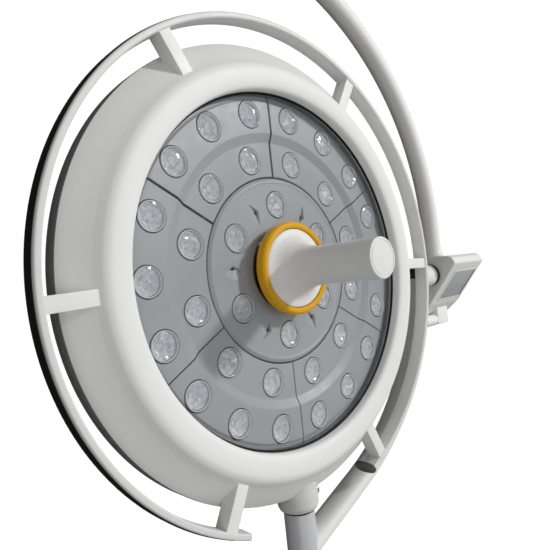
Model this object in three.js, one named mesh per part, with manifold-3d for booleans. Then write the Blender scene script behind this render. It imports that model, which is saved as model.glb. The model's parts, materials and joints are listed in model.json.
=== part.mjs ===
// Ceiling surgical light head on a three-axis cardanic suspension.
// Row frame: millimetres, +Z up, the lamp faces -Y. Origin: centre of the top face of the arm flange, on the spindle axis.
// Every piece is drawn in the lamp frame (x right, y up, z out of the lamp face, origin in the plane of the bezel's
// inner edge) and one group turns that frame into the row frame.
import * as THREE from 'three';
import { mergeVertices } from 'three/addons/utils/BufferGeometryUtils.js';
import Module from 'manifold-3d';

const wasm = await Module();
wasm.setup();

// ---- driving dimensions (mm) ----
const GAP = 0.3;                 // assembly gap between touching pieces
const SEG = 36;                  // facets of the large turned parts
const FLANGE_TOP = 640;          // height of the arm flange above the lamp centre
const AXIS_N = -42;              // depth of the spindle, side and post axes behind the bezel edge plane
const SIDE_Y = -40;              // height of the side joint below the lamp centre
const BOW_R = 455;               // outer bow centreline radius
const BOW_CY = 56;               // outer bow centre height
const BOW_TUBE = 17.3;           // outer bow tube radius
const BOW2_R = 380;              // inner bow centreline radius
const BOW2_W = 13;               // inner bow half thickness, radial
const BOW2_D = 21;               // inner bow half width, axial
const BOW2_A = 22;               // angle from the bottom at which the inner bow runs straight into the post
const RB = 250;                  // bezel inner radius
const SEAM_R = 133;              // boundary between centre carrier and sector carriers
const LENS_R = 19;               // lens radius
const LENS_RINGS = [[222.2, [10, 30, 50]], [160, [15, 45]]];
const LENS_IN_R = 93.8;          // inner ring of lenses
const RAIL_R = 349.2, RAIL_Z = -8.5, RAIL_A = 4.2, RAIL_B = 12.5;
const RAIL_END = 21.5;           // half angle of the rail's opening at the bottom
const STRUT_A = [26.6, 87.8, 149.2];
const POST_R = 22.7;
const BOSS_R = 29.5;

// ---- materials ----
const mat = (color, roughness, metalness = 0, opacity = 1) => new THREE.MeshStandardMaterial({ color, roughness, metalness, opacity, transparent: opacity < 1 });
const WHITE = () => mat(0xe6e6e2, 0.42);
const GREY = () => mat(0x9a9ca0, 0.45);
const DARK = () => mat(0x3a3b3d, 0.6);
const BLACK = () => mat(0x121214, 0.7);
const STEEL = () => mat(0xb8babd, 0.3, 0.9);
const ALU = () => mat(0xc4c6c8, 0.4, 0.8);
const GLASS = () => mat(0xdfe6ea, 0.05, 0, 0.25);
const LENS = () => mat(0xe8eef2, 0.08, 0, 0.5);
const YELLOW = () => mat(0xe0a80a, 0.4);
const BOARD = () => mat(0x2f5a44, 0.6);
const BRONZE = () => mat(0xb08a4a, 0.4, 0.8);

// ---- solid helpers ----
function weld(geometry) {
  let g = geometry.index ? geometry.toNonIndexed() : geometry.clone();
  for (const name of Object.keys(g.attributes)) if (name !== 'position') g.deleteAttribute(name);
  g = mergeVertices(g, 1e-3);
  const p = g.attributes.position, idx = g.index.array, keep = [];
  let volume = 0;
  const a = new THREE.Vector3(), b = new THREE.Vector3(), c = new THREE.Vector3();
  for (let i = 0; i < idx.length; i += 3) {
    if (idx[i] === idx[i + 1] || idx[i + 1] === idx[i + 2] || idx[i] === idx[i + 2]) continue;
    a.fromBufferAttribute(p, idx[i]); b.fromBufferAttribute(p, idx[i + 1]); c.fromBufferAttribute(p, idx[i + 2]);
    volume += a.dot(b.clone().cross(c));
    keep.push(idx[i], idx[i + 1], idx[i + 2]);
  }
  if (volume < 0) for (let i = 0; i < keep.length; i += 3) [keep[i + 1], keep[i + 2]] = [keep[i + 2], keep[i + 1]];
  g.setIndex(keep);
  return g;
}
function solid(geometry) {
  const g = weld(geometry);
  return new wasm.Manifold(new wasm.Mesh({ numProp: 3, vertProperties: new Float32Array(g.attributes.position.array), triVerts: new Uint32Array(g.index.array) }));
}
function toGeometry(manifold) {
  const m = manifold.getMesh();
  const g = new THREE.BufferGeometry();
  const pos = new Float32Array(m.numVert * 3);
  for (let i = 0; i < m.numVert; i++) for (let k = 0; k < 3; k++) pos[3 * i + k] = m.vertProperties[i * m.numProp + k];
  g.setAttribute('position', new THREE.BufferAttribute(pos, 3));
  g.setIndex([...m.triVerts]);
  return g;
}
const moved = (geometry, m) => geometry.clone().applyMatrix4(m);
const T = (x, y, z) => new THREE.Matrix4().makeTranslation(x, y, z);
const RX = (d) => new THREE.Matrix4().makeRotationX(THREE.MathUtils.degToRad(d));
const RY = (d) => new THREE.Matrix4().makeRotationY(THREE.MathUtils.degToRad(d));
const RZ = (d) => new THREE.Matrix4().makeRotationZ(THREE.MathUtils.degToRad(d));

// turned solid about the y axis, profile as [radius, height] pairs, closed on itself or on the axis
function turned(profile, seg = 24) {
  const pts = profile.map(([r, h]) => new THREE.Vector2(r, h));
  if (profile[0][0] > 0 || profile[profile.length - 1][0] > 0) pts.push(pts[0].clone());
  return new THREE.LatheGeometry(pts, seg);
}
const aboutZ = (profile, seg) => moved(turned(profile, seg), RX(90));
const aboutY = (profile, seg, x = 0, z = AXIS_N) => moved(turned(profile, seg), T(x, 0, z));
const aboutX = (profile, seg, y = SIDE_Y, z = AXIS_N) => moved(moved(turned(profile, seg), RZ(-90)), T(0, y, z));
const ring = (r0, r1, h0, h1) => [[r0, h0], [r1, h0], [r1, h1], [r0, h1]];
const rod = (r, h0, h1) => [[0, h0], [r, h0], [r, h1], [0, h1]];
const block = (x0, x1, y0, y1, z0, z1) => moved(new THREE.BoxGeometry(x1 - x0, y1 - y0, z1 - z0), T((x0 + x1) / 2, (y0 + y1) / 2, (z0 + z1) / 2));
// oval section polygon: half width a along x, half width b along y, squareness p
function oval(a, b, n, p = 2.5, phase = 0) {
  const pts = [];
  for (let i = 0; i < n; i++) {
    const t = (i + phase) / n * 2 * Math.PI, c = Math.cos(t), s = Math.sin(t);
    pts.push([a * Math.sign(c) * Math.abs(c) ** (2 / p), b * Math.sign(s) * Math.abs(s) ** (2 / p)]);
  }
  return pts;
}
// plate in the xy plane between z0 and z1 from an outline of [x, y] points
function plate(outline, z0, z1) {
  const s = new THREE.Shape(outline.map(([x, y]) => new THREE.Vector2(x, y)));
  return moved(new THREE.ExtrudeGeometry(s, { depth: z1 - z0, bevelEnabled: false, steps: 1 }), T(0, 0, z0));
}
// point at radius r and angle deg measured from the bottom, positive towards +x
const polar = (r, deg) => [r * Math.sin(THREE.MathUtils.degToRad(deg)), -r * Math.cos(THREE.MathUtils.degToRad(deg))];
// wedge between two angles from the bottom
function wedge(a0, a1, r, z0, z1) {
  const pts = [[0, 0]];
  const n = Math.max(2, Math.ceil(Math.abs(a1 - a0) / 40));
  for (let i = 0; i <= n; i++) pts.push(polar(r, a0 + (a1 - a0) * i / n));
  return solid(plate(pts, z0, z1));
}

const model = new THREE.Group();
const lamp = new THREE.Group();
lamp.rotation.x = Math.PI / 2;
lamp.position.set(0, AXIS_N, -FLANGE_TOP);
model.add(lamp);
function add(parent, name, shape, material) {
  const g = weld(shape.isBufferGeometry ? shape : toGeometry(shape));
  g.computeVertexNormals();
  const mesh = new THREE.Mesh(g, material);
  mesh.name = name;
  parent.add(mesh);
}
const group = () => { const g = new THREE.Group(); lamp.add(g); return g; };

// ---- arm coupling, fixed to the spring arm ----
const coupling = group();
const F = FLANGE_TOP;
let flange = solid(aboutY(rod(50, F - 12, F), 24));
for (const a of [45, 135, 225, 315]) {
  const [x, z] = polar(38, a);
  flange = flange.subtract(solid(aboutY(rod(4.5, F - 14, F + 2), 8, x, AXIS_N + z)));
}
add(coupling, 'arm_flange', flange, WHITE());
add(coupling, 'swivel_housing', aboutY([[24.3, F - 77.5], [35, F - 77.5], [35, F - 12.3], [26.5, F - 12.3], [26.5, F - 33.7], [24.3, F - 33.7]], 16), ALU());
add(coupling, 'swivel_bush', aboutY(ring(20.4, 24, F - 75, F - 34), 16), BRONZE());
add(coupling, 'coupling_cover', aboutY([[35.4, F - 77], [40, F - 77], [42, F - 60], [42, F - 12.3], [35.4, F - 12.3]], 16), WHITE());

// ---- outer bow ----
const outerBow = group();
const bowTop = BOW_CY + BOW_R;
const circle10 = oval(BOW_TUBE, BOW_TUBE, 10, 2, 0.5);
const bowTorus = solid(moved(aboutZ(circle10.map(([u, v]) => [BOW_R + u, v]), 64), T(0, BOW_CY, AXIS_N)));
let bow = bowTorus.intersect(solid(block(0, 520, BOW_CY, 600, AXIS_N - 40, AXIS_N + 40)));
bow = bow.add(solid(moved(plate(circle10, 0, BOW_CY + 13.5), RX(-90)).applyMatrix4(T(BOW_R, -13, AXIS_N))));
bow = bow.add(solid(aboutY([[0, bowTop - 30], [18, bowTop - 27], [27, bowTop - 15], [27, F - 82], [25, F - 78], [0, F - 78]], 16)));
bow = bow.add(solid(aboutY([[0, -2], [BOW_TUBE + 1, 4], [BOW_TUBE + 3.5, -1], [BOW_TUBE + 4, -3.6], [0, -3.6]], 20, BOW_R + 4)));
bow = bow.subtract(solid(aboutY(rod(20.4, bowTop + 6, F), 16)));
add(outerBow, 'outer_bow_tube', bow, WHITE());
add(outerBow, 'bow_spindle', aboutY([[0, bowTop + 6.4], [20, bowTop + 6.4], [20, F - 28.7], [16, F - 28.7], [16, F - 25.3], [20, F - 25.3], [20, F - 16], [0, F - 16]], 16), STEEL());
add(outerBow, 'retaining_ring', aboutY(ring(16.4, 25, F - 28.4, F - 25.6), 16), STEEL());
const stripProfile = [[BOW_R + BOW_TUBE * Math.cos(Math.PI / 10) + GAP, -4.8], [BOW_R + BOW_TUBE + 2, -4.8], [BOW_R + BOW_TUBE + 2.6, 0], [BOW_R + BOW_TUBE + 2, 4.8], [BOW_R + BOW_TUBE * Math.cos(Math.PI / 10) + GAP, 4.8]];
let strip = solid(moved(aboutZ(stripProfile, 64), T(0, BOW_CY, AXIS_N)));
const w0 = new THREE.Matrix4().makeTranslation(0, BOW_CY, 0);
strip = strip.intersect(solid(moved(plate([[0, 0], polar(700, 133), polar(700, 150), polar(700, 174.4)], AXIS_N - 40, AXIS_N + 40), w0)));
add(outerBow, 'bow_cable_cover', strip, WHITE());
add(outerBow, 'side_hub', aboutX([[14.4, BOW_R - 16.8], [23.4, BOW_R - 16.8], [23.4, BOW_R + 42], [20, BOW_R + 46], [14.4, BOW_R + 46]], 16), ALU());

// control panel at the lower end of the outer bow
const PX0 = BOW_R - 17.2, PX1 = 562;
const panelProfile = [[8, -9], [14, -20], [-64, -117], [-71, -125], [-92, -125], [-92, -12], [-84, -4], [0, -4]];
const faceAngle = Math.atan2(78, 97);            // the operating face leans back from the vertical by this angle
const zy = (pts, x0, x1) => moved(moved(plate(pts.map(([n, u]) => [-n, u]), 0, x1 - x0), RY(90)), T(x0, 0, 0));
let housing = solid(zy(panelProfile, PX0, PX1));
const inner = [[3, -13], [8, -20], [-66, -112], [-73, -121], [-96, -121], [-96, -8], [0, -8]];
housing = housing.subtract(solid(zy(inner, PX0 + 4, PX1 - 3.5)));
housing = housing.subtract(solid(aboutY(rod(BOW_TUBE + 4.6, -14, 2), 20, BOW_R + 4)));
housing = housing.subtract(solid(aboutX(rod(24, BOW_R - 40, BOW_R), 16)));
housing = housing.add(solid(block(487, 530, -148, -123, -90, -62)));
// frame of the operating face: origin on the face line, y up along the face, z outward
const face = T(0, -37.4, 0).multiply(RX(THREE.MathUtils.radToDeg(faceAngle)));
housing = housing.subtract(solid(moved(block(458, 556, -74, 3, -3.2, 6), face)));
housing = housing.subtract(solid(moved(block(466, 548, -66, -6, -12, 6), face)));
add(outerBow, 'panel_housing', housing, WHITE());
add(outerBow, 'panel_back_cover', block(PX0 + 4.4, PX1 - 3.9, -120.6, -8.4, -92, -88.5), WHITE());
add(outerBow, 'panel_keypad', solid(moved(block(458.3, 555.7, -73.7, 2.7, -2.9, -0.2), face)).subtract(solid(moved(block(464, 550, -70, -1.5, -1.2, 2), face))), WHITE());
add(outerBow, 'panel_display', moved(block(464.3, 549.7, -69.7, -1.8, -0.9, 0.3), face), mat(0x8d959c, 0.2));
add(outerBow, 'panel_board', moved(block(470, 544, -64, -8, -6.4, -4.6), face), BOARD());
add(outerBow, 'panel_stub', aboutX([[0, PX0 + 4], [9, PX0 + 4], [12, PX0 + 7], [12, 486.7], [0, 486.7]], 16, -137.6, -76), WHITE());

// ---- inner bow ----
const innerBow = group();
const sect = oval(BOW2_W, BOW2_D, 8, 2.6, 0.5);
const HUB0 = 366.6, HUB1 = 428;
let bow2 = solid(moved(aboutZ(sect.map(([u, v]) => [BOW2_R + u, v]), 64), T(0, 0, AXIS_N)));
bow2 = bow2.intersect(wedge(BOW2_A, 83.9, 700, AXIS_N - 40, AXIS_N + 40));
// straight run into the post
const [sx, sy] = polar(BOW2_R, BOW2_A);
const run = moved(moved(moved(plate(sect, 0, 170), RY(-90)), RX(0)), new THREE.Matrix4());
let leg = solid(run.applyMatrix4(RX(90)).applyMatrix4(RZ(BOW2_A)).applyMatrix4(T(sx + 2 * Math.cos(BOW2_A * Math.PI / 180), sy + 2 * Math.sin(BOW2_A * Math.PI / 180), AXIS_N)));
bow2 = bow2.add(leg);
bow2 = bow2.subtract(solid(aboutY(rod(POST_R + GAP, -500, -300), 16)));
bow2 = bow2.intersect(solid(block(0, 420, -470, 20, AXIS_N - 60, AXIS_N + 60)));
bow2 = bow2.add(solid(aboutX([[0, HUB0], [20, HUB0], [21.5, HUB0 + 1.5], [21.5, HUB1], [0, HUB1]], 16)));
bow2 = bow2.subtract(solid(aboutX(rod(19.3, HUB0 - 5, 371.3), 16)));
bow2 = bow2.subtract(solid(aboutX(rod(14.3, 380, 460), 16)));
add(innerBow, 'inner_bow_tube', bow2, WHITE());
add(innerBow, 'hub_cap', aboutX([[0, 364.8], [17.5, 364.8], [19, 366], [19, 371], [0, 371]], 16), BLACK());
add(innerBow, 'side_axle', aboutX([[0, 380.3], [14, 380.3], [14, BOW_R + 46.5], [19, BOW_R + 46.5], [19, BOW_R + 52], [0, BOW_R + 52]], 16), STEEL());
add(innerBow, 'hub_seal_ring', aboutX(ring(14.4, 21.8, HUB1 + 0.3, PX0 - 0.5), 16), BLACK());
add(innerBow, 'post_tube', aboutY([[0, -446], [POST_R, -446], [POST_R, -349.8], [12.3, -349.8], [12.3, -425], [0, -425]], 16), WHITE());
add(innerBow, 'post_foot', aboutY([[0, -459], [16, -457.5], [POST_R + 0.3, -446.3], [0, -446.3]], 16), WHITE());
add(innerBow, 'pivot_pin', aboutY(rod(12, -424.7, -300), 16), STEEL());

// ---- lamp head ----
const head = group();
const bossHole = solid(aboutY(rod(BOSS_R + GAP, -380, -270), 16));
const shellProfile = [[RB, -14], [RB, -1.5], [255, 6.5], [264, 11.4], [275, 11.4], [285, 6], [300, -7], [322.7, -27], [320, -28.3],
  [289, -1.4], [276, 7], [265, 8], [256.5, 2.5], [253.4, -3], [253.4, -14]];
let frontShell = solid(aboutZ(shellProfile, SEG)).subtract(bossHole);
add(head, 'front_shell', frontShell, WHITE());
const bandProfile = [[309, -28.9], [322.7, -28.9], [323.3, -31], [323.3, -50], [321.8, -52], [318.6, -52], [318.6, -37.5], [309, -37.5]];
add(head, 'gasket_band', solid(aboutZ(bandProfile, SEG)).subtract(bossHole), DARK());
const rearProfile = [[0, -98], [180, -94.5], [270, -86], [307, -71], [321.8, -52.3], [317.6, -52.3], [304.4, -68.2], [268.8, -82.4], [180, -90.9], [0, -94.5]];
add(head, 'rear_cover', solid(aboutZ(rearProfile, SEG)).subtract(bossHole), WHITE());
add(head, 'chassis_plate', aboutZ(ring(30, 282, -52, -47.5), SEG), ALU());
let boss = solid(aboutY([[0, -283], [BOSS_R, -283], [BOSS_R, -322], [BOSS_R + 0.8, -326], [BOSS_R + 0.8, -343], [BOSS_R - 1.5, -346], [0, -346]], 16));
boss = boss.subtract(solid(aboutY(rod(12.35, -360, -298), 16)));
boss = boss.subtract(solid(aboutX(rod(6.3, 22, 60), 12, -333)));
add(head, 'pivot_boss', boss, WHITE());
add(head, 'post_seal_ring', aboutY(ring(12.5, 24.6, -349.4, -346.3), 16), BLACK());
add(head, 'brake_screw', aboutX([[0, 22.4], [6, 22.4], [6, 31], [8.5, 31], [8.5, 38], [7, 39.5], [0, 39.5]], 12, -333), STEEL());
add(head, 'front_window', aboutZ(ring(55.5, 249.6, -12, -8.6), SEG), GLASS());
add(head, 'window_gasket', aboutZ(ring(245.2, 249.6, -8.3, -1.4), SEG), BLACK());

// lens carriers: a grey cover plate per sector and one in the centre, with the clear lens mouldings behind them
const S = 60;                                    // sector angle
const TOP_O = -16.3, TOP_I = -22.2, TOP_C = -21.1;
const carrierProfile = [[SEAM_R + 1, TOP_I - 2.5], [SEAM_R + 1, TOP_I], [184, TOP_I], [195, TOP_O], [249.4, TOP_O], [249.4, TOP_O - 2.5], [195.5, TOP_O - 2.5], [185, TOP_I - 2.5]];
const carrierRing = solid(aboutZ(carrierProfile, SEG));
const seamGap = 0.45;                            // half width of the seams, degrees at mid radius
for (let k = 0; k < 6; k++) {
  const a0 = k * S;
  let c = carrierRing.intersect(wedge(a0 + seamGap * 0.4, a0 + S - seamGap * 0.4, 400, -60, 20));
  let body = null;
  for (const [r, angles] of LENS_RINGS) for (const a of angles) {
    const [x, y] = polar(r, a0 + a);
    const top = r > 190 ? TOP_O : TOP_I;
    c = c.subtract(solid(moved(aboutZ(rod(LENS_R + 0.7, -60, 0), 8), T(x, y, 0))));
    const lens = solid(moved(aboutZ([[0, -43], [9, -43], [LENS_R, -28], [LENS_R, top + 1], [0, top + 2]], 8), T(x, y, 0)));
    body = body ? body.add(lens) : lens;
  }
  const web = solid(aboutZ(ring(150, 232, -30.5, -28.8), SEG)).intersect(wedge(a0 + 4, a0 + S - 4, 400, -60, 20));
  add(head, `carrier_${k + 1}`, c, GREY());
  add(head, `lens_array_${k + 1}`, body.add(web), LENS());
}
let centre = solid(aboutZ([[57, TOP_C - 2.5], [57, TOP_C], [126, TOP_C], [SEAM_R - 0.6, TOP_C - 2.2], [SEAM_R - 0.6, TOP_C - 4.7]], SEG));
let centreLens = solid(aboutZ(ring(84, 104, -30.5, -28.8), SEG));
for (let k = 0; k < 6; k++) {
  const [x, y] = polar(LENS_IN_R, k * S);
  centre = centre.subtract(solid(moved(aboutZ(rod(LENS_R + 0.7, -60, 0), 8), T(x, y, 0))));
  centreLens = centreLens.add(solid(moved(aboutZ([[0, -43], [9, -43], [LENS_R, -28], [LENS_R, TOP_C + 1], [0, TOP_C + 2]], 8), T(x, y, 0))));
}
add(head, 'centre_carrier', centre, GREY());
add(head, 'centre_lens_array', centreLens, LENS());
add(head, 'led_board', aboutZ(ring(62, 246, -47.2, -45), SEG), BOARD());
add(head, 'driver_box', block(-95, 95, 40, 150, -78, -52.3), ALU());

// grab rail around the head, open at the bottom
const railSection = (a, b) => [[a, b - 3], [a - 2, b], [2 - a, b], [-a, b - 3], [-a, 3 - b], [2 - a, -b], [a - 2, -b], [a, 3 - b]];
let rail = solid(aboutZ(railSection(RAIL_A, RAIL_B).map(([u, v]) => [RAIL_R + u, RAIL_Z + v]), 48));
rail = rail.subtract(solid(plate([[0, 0], polar(800, -RAIL_END), polar(1200, 0), polar(800, RAIL_END)], -60, 40)));
add(head, 'grab_rail', rail, WHITE());
const bumperProfile = [[RAIL_R + RAIL_A - 1, -1.5], [RAIL_R + RAIL_A + 2, -1.5], [RAIL_R + RAIL_A + 2, -20.5], [RAIL_R + RAIL_A - 1, -20.5]];
let bumper = solid(aboutZ(bumperProfile, 48));
bumper = bumper.subtract(solid(plate([[0, 0], polar(800, -RAIL_END - 3), polar(1200, 0), polar(800, RAIL_END + 3)], -60, 40)));
bumper = bumper.subtract(solid(aboutZ(railSection(RAIL_A + GAP, RAIL_B + GAP).map(([u, v]) => [RAIL_R + u, RAIL_Z + v]), 48)));
add(head, 'rail_bumper', bumper, BLACK());
for (const [name, sgn] of [['rail_end_cap_left', -1], ['rail_end_cap_right', 1]]) {
  // the left end has a plain cover, the right end a wider oval button
  const shape = sgn < 0 ? railSection(RAIL_A - 0.4, RAIL_B - 0.4) : oval(9, 19.5, 12, 2.6);
  const cap = moved(moved(plate(shape, 0, 4), RX(90)), T(0, 0, sgn < 0 ? RAIL_Z : -14));
  // the plate now lies across the rail section at angle zero from +x; turn it to the rail end
  const end = moved(moved(cap, T(RAIL_R, sgn > 0 ? -0.4 : 4.4, 0)), RZ(-90 + sgn * RAIL_END));
  add(head, name, end, sgn > 0 ? DARK() : WHITE());
}
const shellBlank = solid(aboutZ([[0, -60], [318.9, -60], [318.9, -28.9], [323, -27.6], [323.1, -26.8], [300.4, -6.7], [285.3, 6.4], [284, 30], [0, 30]], SEG));
let n = 0;
for (const a of STRUT_A) for (const sgn of [-1, 1]) {
  n += 1;
  let s = solid(moved(block(-9, 9, -(RAIL_R - RAIL_A) + 1.3, -286, -21, 2), RZ(sgn * a)));
  s = s.subtract(shellBlank);
  add(head, `strut_${n}`, s, WHITE());
}

// ---- sterile handle ----
const hub = group();
add(hub, 'handle_neck', aboutZ([[0, -44.5], [18, -44.5], [18, -26], [50, -24], [50, -9], [55.5, -6], [55.5, 0.7], [20, 0.7], [20, 118], [17, 122], [0, 122]], 20), DARK());
add(hub, 'yellow_ring', aboutZ([[55.9, -7.5], [61, -7.5], [65.5, -2.5], [65.5, 2.5], [61, 7.5], [55.9, 7.5]], 20), YELLOW());
const sleeve = group();
add(sleeve, 'handle_sleeve', aboutZ([[20.6, 1], [55, 1], [55, 3.2], [43, 10], [32.5, 24], [26, 52], [26, 147], [22.5, 151.3], [0, 151.3], [0, 147.5], [20.6, 147.5]], 20), WHITE());

export default model;
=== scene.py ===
import bpy, bmesh, json, math
import numpy as np
from mathutils import Matrix, Vector


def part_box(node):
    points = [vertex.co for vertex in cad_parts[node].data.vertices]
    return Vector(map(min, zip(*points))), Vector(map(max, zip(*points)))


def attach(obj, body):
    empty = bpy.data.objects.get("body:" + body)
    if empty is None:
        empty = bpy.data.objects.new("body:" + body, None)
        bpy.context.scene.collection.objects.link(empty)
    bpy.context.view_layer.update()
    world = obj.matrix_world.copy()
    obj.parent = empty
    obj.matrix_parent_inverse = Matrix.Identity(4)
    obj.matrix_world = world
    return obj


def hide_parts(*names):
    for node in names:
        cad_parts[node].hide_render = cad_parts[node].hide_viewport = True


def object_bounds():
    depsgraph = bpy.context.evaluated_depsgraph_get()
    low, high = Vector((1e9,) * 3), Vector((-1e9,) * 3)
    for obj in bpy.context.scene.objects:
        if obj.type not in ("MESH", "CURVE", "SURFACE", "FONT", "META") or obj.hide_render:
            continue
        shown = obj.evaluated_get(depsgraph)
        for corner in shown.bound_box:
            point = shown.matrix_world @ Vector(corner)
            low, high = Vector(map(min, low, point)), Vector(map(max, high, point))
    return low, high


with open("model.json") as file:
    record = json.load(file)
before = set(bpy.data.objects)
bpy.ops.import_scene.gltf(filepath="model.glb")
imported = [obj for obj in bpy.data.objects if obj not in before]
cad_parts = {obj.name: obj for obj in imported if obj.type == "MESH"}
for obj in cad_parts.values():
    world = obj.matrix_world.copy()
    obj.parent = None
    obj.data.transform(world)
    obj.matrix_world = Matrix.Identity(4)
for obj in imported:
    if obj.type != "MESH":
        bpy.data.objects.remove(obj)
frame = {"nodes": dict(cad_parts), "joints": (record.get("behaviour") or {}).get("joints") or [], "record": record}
cad_lo, cad_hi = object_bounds()
record = frame["record"]
joints = {j["name"]: j for j in frame["joints"]}
nodes = frame["nodes"]

# ------------------------------------------------------------------ lamp frame
# x right, y up, z out of the lamp face, in mm, origin in the plane of the bezel's inner edge
C = Vector(joints["focus_turn"]["pos_m"])


def L(x, y, z):
    return (C.x + x / 1000.0, C.y - z / 1000.0, C.z + y / 1000.0)


AXN = (C.y - joints["post_swivel"]["pos_m"][1]) * 1000.0          # depth of the post and side axes
SIDE_Y = (joints["side_tilt"]["pos_m"][2] - C.z) * 1000.0
TOP = (cad_hi.z - C.z) * 1000.0                                   # arm flange top
RAIL_R, RAIL_Z, RAIL_A, RAIL_B, RAIL_END = 349.2, -8.5, 4.2, 12.5, 21.5

# ------------------------------------------------------------------ camera first
scene = bpy.context.scene
cam_data = bpy.data.cameras.new("camera")
cam = bpy.data.objects.new("camera", cam_data)
scene.collection.objects.link(cam)
scene.camera = cam
cam_data.sensor_width = 36.0
cam_data.lens = 523.53 / 550.0 * 36.0
cam_data.shift_x = (275.0 - 274.37) / 550.0
cam_data.shift_y = (268.56 - 275.0) / 550.0
cam_data.clip_end = 60.0
right = Vector((0.72288976, -0.68272729, -0.10636654))
up = Vector((0.06675621, -0.0842111, 0.99420928))
back = Vector((-0.68773106, -0.72580433, -0.01529905))
m = Matrix.Identity(4)
for i, a in enumerate((right, up, back)):
    m[0][i], m[1][i], m[2][i] = a.x, a.y, a.z
m.translation = Vector(L(-527.86856, -9.02573, 517.5023))
cam.matrix_world = m

# ------------------------------------------------------------------ materials
MATS = {}


def nt_new(name):
    mat = bpy.data.materials.new(name)
    mat.use_nodes = True
    nt = mat.node_tree
    nt.nodes.clear()
    out = nt.nodes.new("ShaderNodeOutputMaterial")
    return mat, nt, out


def tex_coord(nt, scale=1.0):
    tc = nt.nodes.new("ShaderNodeTexCoord")
    mp = nt.nodes.new("ShaderNodeMapping")
    mp.inputs["Scale"].default_value = (scale, scale, scale)
    nt.links.new(tc.outputs["Object"], mp.inputs["Vector"])
    return mp.outputs["Vector"]


def noise(nt, vec, scale, detail=3.0, rough=0.55):
    n = nt.nodes.new("ShaderNodeTexNoise")
    n.inputs["Scale"].default_value = scale
    n.inputs["Detail"].default_value = detail
    n.inputs["Roughness"].default_value = rough
    nt.links.new(vec, n.inputs["Vector"])
    return n.outputs["Fac"]


def ramp(nt, fac, lo, hi, c0, c1):
    r = nt.nodes.new("ShaderNodeValToRGB")
    r.color_ramp.elements[0].position = lo
    r.color_ramp.elements[1].position = hi
    r.color_ramp.elements[0].color = (*c0, 1)
    r.color_ramp.elements[1].color = (*c1, 1)
    nt.links.new(fac, r.inputs["Fac"])
    return r.outputs["Color"]


def rng(nt, fac, a, b, lo=0.0, hi=1.0):
    r = nt.nodes.new("ShaderNodeMapRange")
    r.inputs["From Min"].default_value = lo
    r.inputs["From Max"].default_value = hi
    r.inputs["To Min"].default_value = a
    r.inputs["To Max"].default_value = b
    nt.links.new(fac, r.inputs["Value"])
    return r.outputs["Result"]


def surface(name, color, rough, metallic=0.0, vary=0.03, rvary=0.06, big=4.0, grain=900.0, bump=0.02, bump_d=0.0004,
            coat=0.0, coat_rough=0.1, spec=0.5, ior=1.45, tint=None, brushed=None):
    """Painted, moulded or machined surface: cloudy colour and gloss variation and a fine grain in the normal."""
    if name in MATS:
        return MATS[name]
    mat, nt, out = nt_new(name)
    b = nt.nodes.new("ShaderNodeBsdfPrincipled")
    b.inputs["Metallic"].default_value = metallic
    b.inputs["Coat Weight"].default_value = coat
    b.inputs["Coat Roughness"].default_value = coat_rough
    b.inputs["Specular IOR Level"].default_value = spec
    b.inputs["IOR"].default_value = ior
    v = tex_coord(nt)
    n1 = noise(nt, v, big, 4.0)
    c0 = tuple(max(0.0, c * (1 - vary)) for c in color)
    c1 = tuple(min(1.0, c * (1 + vary)) for c in (tint or color))
    nt.links.new(ramp(nt, n1, 0.3, 0.7, c0, c1), b.inputs["Base Color"])
    n2 = noise(nt, v, big * 9, 5.0, 0.65)
    nt.links.new(rng(nt, n2, max(0.02, rough - rvary), min(1.0, rough + rvary), 0.3, 0.7), b.inputs["Roughness"])
    if brushed:
        mp = nt.nodes.new("ShaderNodeMapping")
        mp.inputs["Scale"].default_value = brushed
        nt.links.new(v, mp.inputs["Vector"])
        g = noise(nt, mp.outputs["Vector"], grain, 2.0)
    else:
        g = noise(nt, v, grain, 2.0)
    bp = nt.nodes.new("ShaderNodeBump")
    bp.inputs["Strength"].default_value = bump
    bp.inputs["Distance"].default_value = bump_d
    nt.links.new(g, bp.inputs["Height"])
    nt.links.new(bp.outputs["Normal"], b.inputs["Normal"])
    nt.links.new(b.outputs[0], out.inputs[0])
    MATS[name] = mat
    return mat


def glassy(name, tint, metal, f0, fpow, rough, through):
    """Clear sheet: a mirror that grows towards grazing angles over see-through, with a faint haze that wanders."""
    mat, nt, out = nt_new(name)
    v = tex_coord(nt)
    tr = nt.nodes.new("ShaderNodeBsdfTransparent")
    n1 = noise(nt, v, 7.0, 3.0)
    nt.links.new(ramp(nt, n1, 0.3, 0.7, tuple(c * 0.985 for c in through), through), tr.inputs["Color"])
    b = nt.nodes.new("ShaderNodeBsdfPrincipled")
    b.inputs["Base Color"].default_value = (*tint, 1)
    b.inputs["Metallic"].default_value = metal
    nt.links.new(rng(nt, noise(nt, v, 60.0, 4.0), rough * 0.7, rough * 1.3, 0.3, 0.7), b.inputs["Roughness"])
    lw = nt.nodes.new("ShaderNodeLayerWeight")
    lw.inputs["Blend"].default_value = 0.5
    pw = nt.nodes.new("ShaderNodeMath")
    pw.operation = "POWER"
    pw.inputs[1].default_value = fpow
    nt.links.new(lw.outputs["Facing"], pw.inputs[0])
    fac = rng(nt, pw.outputs[0], f0, 1.0)
    mix = nt.nodes.new("ShaderNodeMixShader")
    nt.links.new(fac, mix.inputs[0])
    nt.links.new(tr.outputs[0], mix.inputs[1])
    nt.links.new(b.outputs[0], mix.inputs[2])
    nt.links.new(mix.outputs[0], out.inputs[0])
    MATS[name] = mat
    return mat


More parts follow.
